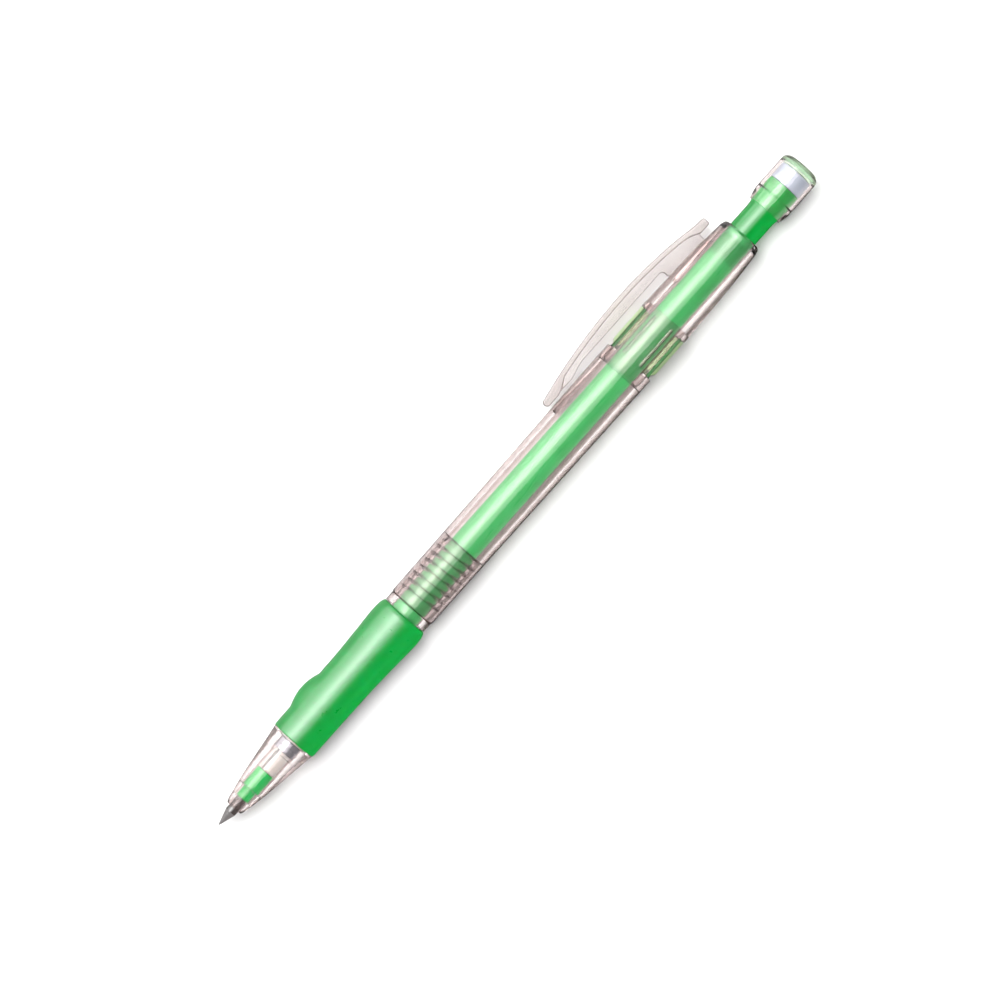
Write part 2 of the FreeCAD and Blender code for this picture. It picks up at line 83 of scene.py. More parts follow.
# ---------------------------------------------------------------- places read from the frame

def ends(node):
    """The first and last station of a CAD node, in mm."""
    low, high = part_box(node)
    return (low.x - POINT) / MM, (high.x - POINT) / MM


def radius_of(node):
    """The largest radius of a turned CAD node, in mm."""
    low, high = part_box(node)
    return (high.z - low.z) / 2 / MM


def at(station, radius, turn=0.0):
    """A point of the row frame; turn is counted from the clip's side, a quarter turn being straight up."""
    return Vector((
        POINT + station * MM,
        AXIS.y + radius * MM * math.cos(turn),
        AXIS.z + radius * MM * math.sin(turn),
    ))


# ---------------------------------------------------------------- outlines

def rounded(corners, cut=0.08, steps=3):
    """A closed outline whose corners are rounded. A corner is (station, radius) or (station, radius, cut),
    where cut is how far back from the corner its curve starts, and 0 leaves the corner as it is."""
    outline = []
    for i, corner in enumerate(corners):
        here = Vector(corner[:2])
        back = Vector(corners[i - 1][:2]) - here
        on = Vector(corners[(i + 1) % len(corners)][:2]) - here
        wanted = corner[2] if len(corner) > 2 else cut
        if wanted == 0 or here.y == 0:
            outline.append(tuple(here))
            continue
        reach = min(wanted, back.length * 0.45, on.length * 0.45)
        first, last = here + back.normalized() * reach, here + on.normalized() * reach
        for k in range(steps + 1):
            t = k / steps
            outline.append(tuple(first * (1 - t) ** 2 + here * 2 * t * (1 - t) + last * t * t))
    return outline


def flow(knots, steps=8):
    """Corners along a smooth curve through (station, radius) knots, with no overshoot between them."""
    slopes = [(b[1] - a[1]) / (b[0] - a[0]) for a, b in zip(knots, knots[1:])]
    tangents = [slopes[0]]
    for before, after in zip(slopes, slopes[1:]):
        tangents.append(2 * before * after / (before + after) if before * after > 0 else 0.0)
    tangents.append(slopes[-1])
    corners = []
    for i, (a, b) in enumerate(zip(knots, knots[1:])):
        run = b[0] - a[0]
        for k in range(steps):
            t = k / steps
            rise = (a[1] * (1 + 2 * t) * (1 - t) ** 2 + run * tangents[i] * t * (1 - t) ** 2
                    + b[1] * t * t * (3 - 2 * t) + run * tangents[i + 1] * t * t * (t - 1))
            corners.append((a[0] + run * t, rise, 0))
    return corners + [(*knots[-1], 0)]


def even(first, last, spacing):
    """Corners at an even spacing on a straight run, so that a skin can shape the surface between them."""
    count = max(1, round((Vector(last) - Vector(first)).length / spacing))
    return [(*Vector(first).lerp(Vector(last), k / count), 0) for k in range(count + 1)]


# ---------------------------------------------------------------- meshes

def new_piece(name, bm, sharp=38.0):
    """An object from a bmesh, smooth except where its faces meet at more than the sharp angle."""
    bmesh.ops.recalc_face_normals(bm, faces=bm.faces)
    mesh = bpy.data.meshes.new(name)
    bm.to_mesh(mesh)
    bm.free()
    mesh.shade_smooth()
    mesh.set_sharp_from_angle(angle=math.radians(sharp))
    piece = bpy.data.objects.new(name, mesh)
    bpy.context.scene.collection.objects.link(piece)
    return piece


def turned(name, outline, skin=None, sides=SIDES, sector=None):
    """A solid turned about the axis from a closed outline. skin(station, radius, turn) gives the radius that
    a point really has. A sector (middle, width) in radians makes a wedge of the solid."""
    bm = bmesh.new()
    if sector:
        turns = [sector[0] + sector[1] * (k / sides - 0.5) for k in range(sides + 1)]
    else:
        turns = [2 * math.pi * k / sides for k in range(sides)]
    rings = []
    for station, radius in outline:
        if radius == 0:
            rings.append([bm.verts.new(at(station, 0))] * len(turns))
            continue
        shaped = [skin(station, radius, turn) if skin else radius for turn in turns]
        rings.append([bm.verts.new(at(station, r, turn)) for r, turn in zip(shaped, turns)])
    count = len(turns) - 1 if sector else len(turns)
    for i, ring in enumerate(rings):
        following = rings[(i + 1) % len(rings)]
        for k in range(count):
            j = (k + 1) % len(turns)
            loop = [ring[k], ring[j], following[j], following[k]]
            corners = [v for n, v in enumerate(loop) if v not in loop[:n]]
            if len(corners) > 2:
                bm.faces.new(corners)
    if sector:
        bm.faces.new([ring[0] for ring in rings])
        bm.faces.new([ring[-1] for ring in rings])
    return new_piece(name, bm)


def inset(outline, distance):
    """An outline moved inwards by a distance along the middle of each corner."""
    turns = sum(a[0] * b[1] - b[0] * a[1] for a, b in zip(outline, outline[1:] + outline[:1]))
    side = 1 if turns > 0 else -1
    moved = []
    for i, corner in enumerate(outline):
        here = Vector(corner)
        back = (here - Vector(outline[i - 1])).normalized()
        on = (Vector(outline[(i + 1) % len(outline)]) - here).normalized()
        middle = Vector((-back.y - on.y, back.x + on.x)) * side
        moved.append(tuple(here + middle.normalized() * distance / max(0.6, middle.length / 2)))
    return moved


def slab(name, outline, half_width, round_by, steps=4):
    """A plate in the clip's plane from an outline of (station, radius) corners, its edges rounded."""
    bm = bmesh.new()
    turns = [math.pi / 2 * k / steps for k in range(steps + 1)]
    layers = [(round_by * (1 - math.cos(t)), half_width - round_by * (1 - math.sin(t))) for t in turns]
    layers = [(depth, -height) for depth, height in reversed(layers)] + layers
    rings = [
        [bm.verts.new(at(s, r) + Vector((0, 0, height * MM))) for s, r in inset(outline, depth)]
        for depth, height in layers
    ]
    for ring, following in zip(rings, rings[1:]):
        for k in range(len(outline)):
            j = (k + 1) % len(outline)
            bm.faces.new([ring[k], ring[j], following[j], following[k]])
    bm.faces.new(rings[0])
    bm.faces.new(rings[-1])
    return new_piece(name, bm)


def bar(name, first, last, half_width, sides=16):
    """A round bar between two points, used to cut slits and holes."""
    bm = bmesh.new()
    along = last - first
    turn = along.to_track_quat("Z", "Y").to_matrix().to_4x4()
    place = Matrix.Translation((first + last) / 2) @ turn
    radius = half_width * MM
    bmesh.ops.create_cone(bm, cap_ends=True, segments=sides, radius1=radius, radius2=radius,
                          depth=along.length, matrix=place)
    return new_piece(name, bm)


def combine(piece, other, operation):
    """Join another solid to a piece, or cut it away, and delete the other."""
    modifier = piece.modifiers.new(operation.lower(), "BOOLEAN")
    modifier.operation = operation
    modifier.object = other
    modifier.solver = "EXACT"
    bake(piece)
    bpy.data.objects.remove(other)


def bake(piece, sharp=38.0):
    """Apply a piece's modifiers to its mesh."""
    bpy.context.view_layer.update()
    shown = piece.evaluated_get(bpy.context.evaluated_depsgraph_get())
    mesh = bpy.data.meshes.new_from_object(shown)
    piece.modifiers.clear()
    piece.data = mesh
    mesh.shade_smooth()
    mesh.set_sharp_from_angle(angle=math.radians(sharp))


def fit(piece, material, body, slot, *nodes):
    """Give a piece its material and its body, and hide the CAD nodes that it stands for. The slot is not
    used.
    """
    piece.data.materials.append(material)
    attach(piece, body)
    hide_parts(*nodes)


# ---------------------------------------------------------------- materials

def new_material(name):
    """A material with its Principled shader and the row-frame coordinates that its textures use."""
    material = bpy.data.materials.new(name)
    material.use_nodes = True
    nodes = material.node_tree.nodes
    shader = nodes["Principled BSDF"]
    place = nodes.new("ShaderNodeTexCoord").outputs["Object"]
    return material, shader, place


def stretched(material, place, stretch):
    """Coordinates scaled by (along, across, up), so that a texture's grain can run along the piece."""
    mapping = material.node_tree.nodes.new("ShaderNodeMapping")
    mapping.inputs["Scale"].default_value = stretch
    material.node_tree.links.new(place, mapping.inputs["Vector"])
    return mapping.outputs["Vector"]


def noise(material, place, size, detail=3.0, roughness=0.55):
    """Noise whose features are about size mm wide."""
    node = material.node_tree.nodes.new("ShaderNodeTexNoise")
    node.inputs["Scale"].default_value = 1 / (size * MM)
    node.inputs["Detail"].default_value = detail
    node.inputs["Roughness"].default_value = roughness
    material.node_tree.links.new(place, node.inputs["Vector"])
    return node.outputs["Fac"]


def ramp(material, factor, *stops):
    """A colour ramp through (position, colour) stops."""
    node = material.node_tree.nodes.new("ShaderNodeValToRGB")
    while len(node.color_ramp.elements) < len(stops):
        node.color_ramp.elements.new(0.5)
    for element, (position, colour) in zip(node.color_ramp.elements, stops):
        element.position = position
        element.color = (*colour, 1)
    material.node_tree.links.new(factor, node.inputs["Fac"])
    return node.outputs["Color"]


def spread(material, factor, low, high):
    """A number that goes from low to high as noise goes through its middle range."""
    node = material.node_tree.nodes.new("ShaderNodeMapRange")
    node.inputs["From Min"].default_value = 0.3
    node.inputs["From Max"].default_value = 0.7
    node.inputs["To Min"].default_value = low
    node.inputs["To Max"].default_value = high
    material.node_tree.links.new(factor, node.inputs["Value"])
    return node.outputs["Result"]


def bump(material, shader, heights):
    """Bump from a chain of (height, depth in mm) pairs."""
    links = material.node_tree.links
    normal = None
    for height, depth in heights:
        node = material.node_tree.nodes.new("ShaderNodeBump")
        node.inputs["Distance"].default_value = depth * MM
        node.inputs["Strength"].default_value = 1.0
        links.new(height, node.inputs["Height"])
        if normal:
            links.new(normal, node.inputs["Normal"])
        normal = node.outputs["Normal"]
    links.new(normal, shader.inputs["Normal"])


def facing(material):
    """How far a surface turns away from the ray that meets it: 0 straight on, 1 edge on."""
    return material.node_tree.nodes.new("ShaderNodeLayerWeight").outputs["Facing"]


def let_light_through(material, shader, straight, grazing):
    """Let lamp light pass a clear piece: most of it where it falls straight on a surface, and little where it
    grazes one, because there the real plastic bends it away."""
    nodes, links = material.node_tree.nodes, material.node_tree.links
    path = nodes.new("ShaderNodeLightPath")
    open_way = nodes.new("ShaderNodeBsdfTransparent")
    passed = ramp(material, facing(material), (0.16, straight), (0.5, grazing))
    links.new(passed, open_way.inputs["Color"])
    mix = nodes.new("ShaderNodeMixShader")
    links.new(path.outputs["Is Shadow Ray"], mix.inputs["Fac"])
    links.new(shader.outputs["BSDF"], mix.inputs[1])
    links.new(open_way.outputs["BSDF"], mix.inputs[2])
    links.new(mix.outputs["Shader"], nodes["Material Output"].inputs["Surface"])


def clear_plastic(name, pale, deep, shadow, edge=(0.38, 0.5, 0.6), frost=0.0):
    """Clear styrene: a warm tint, flow lines along the moulding and handling marks. Shadow is the colour of
    the light that falls through it. Edge is where the tint starts and stops darkening as the surface turns
    away (as facing counts it), and what its red is multiplied by there, with a little more off the rest:
    painted shade that draws darker, redder outlines at the edges."""
    material, shader, place = new_material(name)
    nodes, links = material.node_tree.nodes, material.node_tree.links
    tint = nodes.new("ShaderNodeMix")
    tint.data_type = "RGBA"
    tint.blend_type = "MULTIPLY"
    tint.inputs["Factor"].default_value = 1.0
    links.new(ramp(material, noise(material, place, 6.0), (0.35, pale), (0.65, deep)), tint.inputs["A"])
    start, stop, depth = edge
    # Painted edge shade: the tint turns darker and redder as the surface turns away from the ray, in place of
    # the dark that real edges show.
    edge_shade_colour = (depth, depth * 0.83, depth * 0.81)
    painted_edge_shade = ramp(material, facing(material), (start, (1, 1, 1)), (stop, edge_shade_colour))
    links.new(painted_edge_shade, tint.inputs["B"])
    links.new(tint.outputs["Result"], shader.inputs["Base Color"])
    marks = noise(material, stretched(material, place, (0.3, 1, 1)), 0.5, 4)
    links.new(spread(material, marks, 0.01 + frost, 0.03 + frost), shader.inputs["Roughness"])
    flowing = noise(material, stretched(material, place, (0.03, 1, 1)), 1.2, 2)
    bump(material, shader, [(flowing, 0.00005), (marks, 0.0001)])
    shader.inputs["Transmission Weight"].default_value = 0.99
    shader.inputs["IOR"].default_value = 1.49
    shader.inputs["Specular Tint"].default_value = (0.45, 0.45, 0.45, 1)
    at_edges = 0.46
    let_light_through(material, shader, shadow, tuple(part * at_edges for part in shadow))
    return material


def thicken(material, colour, density):
    """Let a clear plastic take up light on its way through, so that its thick parts are darker."""
    nodes, links = material.node_tree.nodes, material.node_tree.links
    body = nodes.new("ShaderNodeVolumeAbsorption")
    body.inputs["Color"].default_value = (*colour, 1)
    body.inputs["Density"].default_value = density
    links.new(body.outputs["Volume"], nodes["Material Output"].inputs["Volume"])


def green_plastic(name, dark, light, gloss, deep_from=None):
    """Green moulded plastic: polished, with pigment clouds and faint lines along its length. Behind the
    station deep_from the colour is deeper, where another green piece lies under a thin wall."""
    material, shader, place = new_material(name)
    nodes, links = material.node_tree.nodes, material.node_tree.links
    cloud = noise(material, stretched(material, place, (0.35, 1, 1)), 3.0, 4)
    colour = ramp(material, cloud, (0.35, dark), (0.65, light))
    if deep_from:
        apart = nodes.new("ShaderNodeSeparateXYZ")
        links.new(place, apart.inputs["Vector"])
        along = nodes.new("ShaderNodeMapRange")
        along.inputs["From Min"].default_value = at(deep_from - 0.3, 0).x
        along.inputs["From Max"].default_value = at(deep_from + 0.3, 0).x
        links.new(apart.outputs["X"], along.inputs["Value"])
        deeper = nodes.new("ShaderNodeMix")
        deeper.data_type = "RGBA"
        links.new(along.outputs["Result"], deeper.inputs["Factor"])
        links.new(colour, deeper.inputs["A"])
        deeper.inputs["B"].default_value = (*[part * 0.72 for part in dark], 1)
        colour = deeper.outputs["Result"]
    links.new(colour, shader.inputs["Base Color"])
    marks = noise(material, stretched(material, place, (0.1, 1, 1)), 0.4, 4)
    links.new(spread(material, marks, *gloss), shader.inputs["Roughness"])
    bump(material, shader, [(marks, 0.001)])
    shader.inputs["Specular IOR Level"].default_value = 0.6
    shader.inputs["Subsurface Weight"].default_value = 0.4
    shader.inputs["Subsurface Scale"].default_value = 1.6 * MM
    shader.inputs["Subsurface Radius"].default_value = (0.4, 1.0, 0.5)
    return material


def grip_rubber():
    """Soft green rubber: a satin skin with fine grain, mottled pigment and handling marks."""
    material, shader, place = new_material("grip_rubber")
    cloud = noise(material, place, 2.6, 5)
    colour = ramp(material, cloud, (0.32, (0.0003, 0.205, 0.025)), (0.68, (0.0006, 0.23, 0.034)))
    material.node_tree.links.new(colour, shader.inputs["Base Color"])
    worn = noise(material, place, 1.1, 4)
    material.node_tree.links.new(spread(material, worn, 0.27, 0.36), shader.inputs["Roughness"])
    grain = noise(material, place, 0.16, 2)
    bump(material, shader, [(grain, 0.003), (worn, 0.003)])
    shader.inputs["Specular IOR Level"].default_value = 0.78
    shader.inputs["Subsurface Weight"].default_value = 0.65
    shader.inputs["Subsurface Scale"].default_value = 3.0 * MM
    shader.inputs["Subsurface Radius"].default_value = (0.3, 1.0, 0.4)
    return material


def graphite(name, dark, light, low, high):
    """Drawing lead: dark grey, with fine streaks along its length and a dull metallic shine."""
    material, shader, place = new_material(name)
    streaks = noise(material, stretched(material, place, (0.12, 1, 1)), 0.16, 5)
    colour = ramp(material, streaks, (0.35, dark), (0.7, light))
    material.node_tree.links.new(colour, shader.inputs["Base Color"])
    material.node_tree.links.new(spread(material, streaks, low, high), shader.inputs["Roughness"])
    bump(material, shader, [(streaks, 0.005)])
    shader.inputs["Specular IOR Level"].default_value = 0.8
    return material


def natural_plastic():
    """Unpigmented waxy plastic: milky, with soft clouds."""
    material, shader, place = new_material("natural_plastic")
    cloud = noise(material, place, 1.4, 4)
    colour = ramp(material, cloud, (0.35, (0.38, 0.38, 0.36)), (0.65, (0.44, 0.44, 0.42)))
    material.node_tree.links.new(colour, shader.inputs["Base Color"])
    material.node_tree.links.new(spread(material, cloud, 0.25, 0.4), shader.inputs["Roughness"])
    bump(material, shader, [(noise(material, place, 0.25, 3), 0.003)])
    shader.inputs["Subsurface Weight"].default_value = 0.15
    shader.inputs["Subsurface Scale"].default_value = 0.5 * MM
    return material


def turned_metal(name, dark, light, low, high, metallic):
    """Metal with fine turning lines round the axis."""
    material, shader, place = new_material(name)
    lines = noise(material, stretched(material, place, (1, 0.05, 0.05)), 0.06, 3)
    colour = ramp(material, lines, (0.35, dark), (0.65, light))
    material.node_tree.links.new(colour, shader.inputs["Base Color"])
    material.node_tree.links.new(spread(material, lines, low, high), shader.inputs["Roughness"])
    bump(material, shader, [(lines, 0.0012)])
    shader.inputs["Metallic"].default_value = metallic
    return material


def eraser_vinyl():
    """Cool pale grey vinyl: matte, with a fine powdery grain and faint smudges."""
    material, shader, place = new_material("eraser_vinyl")
    smudges = noise(material, place, 1.8, 5)
    colour = ramp(material, smudges, (0.3, (0.21, 0.25, 0.3)), (0.6, (0.25, 0.29, 0.345)))
    material.node_tree.links.new(colour, shader.inputs["Base Color"])
    material.node_tree.links.new(spread(material, smudges, 0.35, 0.45), shader.inputs["Roughness"])
    bump(material, shader, [(noise(material, place, 0.12, 3), 0.004)])
    return material


def floor_paint():
    """Plain pale matte paint for the floor."""
    material, shader, place = new_material("floor")
    cloud = noise(material, place, 60.0)
    colour = ramp(material, cloud, (0.3, (0.85, 0.85, 0.85)), (0.7, (0.87, 0.87, 0.87)))
    material.node_tree.links.new(colour, shader.inputs["Base Color"])
    shader.inputs["Roughness"].default_value = 0.9
    shader.inputs["Specular IOR Level"].default_value = 0.0
    return material


CLEAR = clear_plastic("clear_plastic", (0.77, 0.71, 0.7), (0.74, 0.68, 0.67), (0.93, 0.92, 0.92))
PALE = clear_plastic("pale_clear_plastic", (0.9, 0.86, 0.855), (0.87, 0.83, 0.825), (0.92, 0.91, 0.91))
INNER_CLEAR = clear_plastic("inner_clear_plastic", (0.98, 0.96, 0.955), (0.96, 0.94, 0.935),
                            (0.96, 0.955, 0.955), edge=(0.38, 0.6, 0.85))
# Its edge setting starts the painted edge shade almost at once, painting dark outlines round the clip's
# rounded edges.
CLIP_CLEAR = clear_plastic("clip_plastic", (0.97, 0.96, 0.955), (0.94, 0.925, 0.92),
                           (0.22, 0.22, 0.23), edge=(0.02, 0.16, 0.4))
thicken(CLIP_CLEAR, (0.52, 0.443, 0.427), 250.0)
# Frosted clear plastic tinted green: painted green light, standing in for the lead tube's green that shows
# through the snap tongues.
TONGUE_GREEN_LIGHT = clear_plastic("snap_tongue_painted_green", (0.62, 0.84, 0.46), (0.56, 0.78, 0.4),
                       (0.9, 0.9, 0.9), frost=0.3)
# Clear plastic tinted green for the cap's closed end: painted green light, standing in for the green cup's
# light carried along the clear wall.
CAP_END_GREEN_LIGHT = clear_plastic("cap_end_painted_green", (0.6, 0.84, 0.6), (0.56, 0.8, 0.56), (0.9, 0.9, 0.9))
# Dark brown clear plastic for thin lines and rings of painted shade; no part of the holder is made of it.
SHADE_LINE_PLASTIC = clear_plastic("painted_shade_plastic", (0.16, 0.08, 0.07), (0.1, 0.05, 0.04), (0.8, 0.8, 0.8))
GREEN = green_plastic("green_plastic", (0.003, 0.3, 0.05), (0.008, 0.34, 0.07), (0.16, 0.26))
TUBE_GREEN = green_plastic("tube_green_plastic", (0.02, 0.28, 0.066), (0.028, 0.32, 0.084),
                           (0.26, 0.34), deep_from=125.9)
DEEP_GREEN = green_plastic("deep_green_plastic", (0.0006, 0.19, 0.02), (0.0015, 0.22, 0.032), (0.16, 0.26))
RUBBER = grip_rubber()
GROUND_LEAD = graphite("ground_lead", (0.09, 0.083, 0.082), (0.15, 0.14, 0.138), 0.3, 0.4)
LEAD_ROD = graphite("lead_rod", (0.035, 0.028, 0.027), (0.06, 0.05, 0.048), 0.1, 0.16)
NATURAL = natural_plastic()
RING_METAL = turned_metal("ring_metal", (0.27, 0.29, 0.33), (0.33, 0.35, 0.39), 0.18, 0.26, 0.65)
# Near-black metal for the two dark spots painted inside the sleeve's end.
DARK_SPOT_METAL = turned_metal("painted_dark_spots", (0.012, 0.012, 0.012), (0.03, 0.03, 0.03), 0.3, 0.45, 0.6)
STEEL = turned_metal("spring_steel", (0.5, 0.5, 0.5), (0.64, 0.64, 0.63), 0.25, 0.4, 1.0)
VINYL = eraser_vinyl()


def change_behind(piece, station, material):
    """Give the faces behind a station another material, where the same plastic looks different."""
    piece.data.materials.append(material)
    last = len(piece.data.materials) - 1
    for face in piece.data.polygons:
        if face.center.x > at(station, 0).x:
            face.material_index = last


# ---------------------------------------------------------------- writing end

def lead():
    """The lead: a ground cone with faint rings from the pointer, then the plain rod."""
    front, rear = ends("lead")
    radius = radius_of("lead")
    cone = 2.9
    outline = [(front, 0)] + even((front + 0.02, 0.09), (front + cone, radius - 0.02), 0.12)
    outline += [(front + cone + 0.15, radius, 0), (rear, radius), (rear, 0)]

    def ground(station, r, turn):
        if station > cone:
            return r
        return r * (1 + 0.012 * math.sin(5 * turn + 9 * station) + 0.008 * math.sin(41 * station))

    piece = turned("lead_rod", rounded(outline, 0.1), ground)
    fit(piece, GROUND_LEAD, "lead", "graphite", "lead")
    change_behind(piece, cone, LEAD_ROD)


def front_section():
    """The clear nose with its stepped bore, the grip's seat, the collar and the threaded spigot, and thin
    dark lines of painted shade along the thread, at the parting and at the spigot's end.
    """
    front, rear = ends("front_section")
    grip_front, grip_rear = ends("grip")
    parting = ends("barrel")[0] - 0.1
    seat, collar, spigot = 3.3, 4.2, 3.42
    crest, pitch, first, turns = 0.4, 1.48, 50.3, 6.9
    outline = [(front, 1.28, 0.05), (front, 1.5, 0.12), (front + 0.62, 1.76, 0.12)]
    outline += flow([(5.0, 1.9), (6.7, 2.22), (8.3, 2.55), (11.7, 3.06), (15.0, 3.5), (grip_front, 4.05)])
    outline += [(grip_front, seat), (grip_rear + 0.1, seat), (grip_rear + 0.1, collar, 0.12)]
    outline += [(parting, collar, 0.22), (parting, spigot)]
    outline += even((parting + 1.2, spigot), (rear - 0.4, spigot), 0.07)
    outline += [(rear, spigot, 0.2), (rear, 2.9), (18.5, 2.9), (18.5, 2.12), (15.7, 2.12), (15.7, 1.95)]
    outline += [(8.05, 1.95), (8.05, 1.68), (5.9, 1.68), (5.9, 1.28)]

    def threaded(station, r, turn):
        along = (station - first) / pitch - turn / (2 * math.pi)
        if abs(r - spigot) > 0.001 or not -0.3 < along < turns + 0.3:
            return r
        across = abs(along - round(along)) * pitch
        ridge = min(1.0, max(0.0, (0.3 - across) / 0.14))
        fade = min(1.0, (along + 0.3) / 0.5, (turns + 0.3 - along) / 0.5)
        return r + crest * ridge * max(0.0, fade)

    piece = turned("nose_and_spigot", rounded(outline), threaded)
    fit(piece, CLEAR, "front_section", "clear_plastic", "front_section")
    change_behind(piece, parting, INNER_CLEAR)

    def crest_line(t):
        return at(first + t * pitch, spigot + crest + 0.01, 2 * math.pi * t)

    # A thin dark helix on the thread's crest, inside the barrel: painted shade for the dark lines that the
    # thread shows.
    crest_shade_helix = coil("painted_thread_shade", 0.07, crest_line, turns, 96, 6)
    fit(crest_shade_helix, SHADE_LINE_PLASTIC, "front_section", "clear_plastic", "front_section")
    # Thin dark rings at the parting gap and just behind the spigot's end: painted shade for the dark lines
    # seen there.
    shade_rings = (("parting_line", parting + 0.01, 3.46, 4.24), ("spigot_rim_shade", rear + 0.03, 2.95, 3.84))
    for name, start, inner, outer in shade_rings:
        line = turned(name, [(start, inner), (start, outer), (start + 0.14, outer), (start + 0.14, inner)])
        fit(line, SHADE_LINE_PLASTIC, "front_section", "clear_plastic", "front_section")


def grip():
    """The rubber sleeve with its waist and swell, and the finger bump on the clip's side."""
    front, rear = ends("grip")
    full, seat = radius_of("grip"), 3.31
    outline = [(front, seat, 0.05), (front, 4.16, 0.22)]
    outline += flow([(front + 0.4, 4.19), (26.0, 4.21), (33.0, 4.26), (39.5, 4.5), (44.2, full - 0.01),
                     (rear - 0.9, 4.6), (rear - 0.3, 4.42)], 14)
    outline += [(rear, 4.26, 0.12), (rear, seat, 0.05)]
    middle, height, half_length = 26.35, 0.76, 3.6

    def bumped(station, r, turn):
        along = (station - middle) / half_length
        if r < seat + 0.4 or abs(along) >= 1 or math.cos(turn) <= 0:
            return r
        return r + height * (1 - along * along) * math.cos(turn) ** 10

    piece = turned("grip_sleeve", rounded(outline), bumped)
    piece.visible_diffuse = False  # keeps its green off the floor
    fit(piece, RUBBER, "front_section", "grip_rubber", "grip")


def lead_retainer():
    """The green slider in the nose, narrow in front of its step and wider behind it."""
    front, rear = ends("lead_retainer")
    bore, nose, wide, step = 1.03, 1.22, radius_of("lead_retainer"), 8.05
    outline = [(front, bore), (front, nose, 0.1), (step, nose, 0.05), (step, wide, 0.12)]
    outline += [(rear, wide, 0.12), (rear, bore)]
    fit(turned("lead_slider", rounded(outline)), GREEN, "lead_retainer", "green_plastic", "lead_retainer")


def chuck():
    """The three sprung fingers, each a wedge of the same turned outline, and the stem that carries them."""
    front, rear = ends("chuck_jaw_1")
    bore, head, neck = 1.01, 1.6, 1.38
    outline = [(front, bore), (front, head - 0.2, 0.05), (front + 0.3, head), (15.5, head), (16.2, 1.5)]
    outline += [(17.5, neck), (rear, neck), (rear, bore)]
    for number in (1, 2, 3):
        turn = (number - 1) * math.radians(120)
        name = f"chuck_jaw_{number}"
        piece = turned(f"finger_{number}", rounded(outline, 0.06), sides=32, sector=(turn, math.radians(104)))
        fit(piece, NATURAL, name, "natural_plastic", name)
    front, rear = ends("chuck_stem")
    outline = [(front, 1.08), (front, neck), (rear, neck), (rear, 1.08)]
    fit(turned("chuck_stem_tube", rounded(outline)), NATURAL, "feed", "natural_plastic", "chuck_stem")


def clutch():
    """The metal ring round the chuck and its fixed seat behind it."""
    front, rear = ends("clutch_ring")
    radius = radius_of("clutch_ring")
    groove, depth = 0.5 * (front + rear), 0.05
    outline = [(front, 1.53), (front, radius, 0.15), (groove - 0.16, radius, 0.04)]
    outline += [(groove - 0.12, radius - depth, 0.04), (groove + 0.12, radius - depth, 0.04)]
    outline += [(groove + 0.16, radius, 0.04), (rear, radius, 0.15), (rear, 1.53)]
    fit(turned("clutch_collar", rounded(outline)), RING_METAL, "clutch_ring", "ring_metal", "clutch_ring")
    front, rear = ends("clutch_sleeve")
    radius = radius_of("clutch_sleeve")
    outline = [(front, 1.56), (front, radius), (rear, radius), (rear, 2.42)]
    outline += [(rear - 0.9, 2.42), (rear - 0.9, 1.56)]
    fit(turned("clutch_seat", rounded(outline)), NATURAL, "barrel", "natural_plastic", "clutch_sleeve")


def coil(name, wire, path, turns, steps, around):
    """A round wire of radius wire mm along a helix: path(t) is its middle after t turns about the axis."""
    bm = bmesh.new()
    rings = []
    for k in range(int(turns * steps) + 1):
        middle = path(k / steps)
        outward = Vector((0, middle.y - AXIS.y, middle.z - AXIS.z)).normalized()
        rings.append([
            bm.verts.new(middle + wire * MM * (Vector((math.sin(a), 0, 0)) + outward * math.cos(a)))
            for a in (2 * math.pi * n / around for n in range(around))
        ])
    for ring, following in zip(rings, rings[1:]):
        for n in range(around):
            m = (n + 1) % around
            bm.faces.new([ring[n], ring[m], following[m], following[n]])
    bm.faces.new(rings[0])
    bm.faces.new(rings[-1])
    return new_piece(name, bm, 60)


def return_spring():
    """The wire coil, with a closed turn at each end."""
    front, rear = ends("return_spring")
    wire, turns, dead = 0.22, 10.4, 1.1
    middle = radius_of("return_spring") - wire
    run = (rear - front) - 2 * wire - 4 * wire * dead

    def path(t):
        live = min(1.0, max(0.0, (t - dead) / (turns - 2 * dead)))
        closed = min(t, dead) + max(0.0, t - (turns - dead))
        return at(front + wire + closed * 2 * wire + live * run, middle, 2 * math.pi * t)

    piece = coil("spring_coil", wire, path, turns, 44, 10)
    fit(piece, STEEL, "barrel", "spring_steel", "return_spring")
    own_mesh(piece)


def lead_tube():
    """The long green tube and the plug that joins it to the chuck's stem."""
    front, rear = ends("tube_connector")
    flange, step = radius_of("tube_connector"), 40.0
    outline = [(front, 1.39), (front, flange), (step, flange), (step, 2.19), (rear, 2.19), (rear, 1.08)]
    outline += [(43.02, 1.08), (43.02, 1.39)]
    fit(turned("tube_plug", rounded(outline)), NATURAL, "feed", "natural_plastic", "tube_connector")
    front, rear = ends("reservoir_tube")
    radius = radius_of("reservoir_tube")
    outline = [(front, 2.2), (front, radius), (rear, radius), (rear, 2.2)]
    fit(turned("lead_tube", rounded(outline)), TUBE_GREEN, "feed", "green_plastic", "reservoir_tube")


# ---------------------------------------------------------------- barrel and rear end

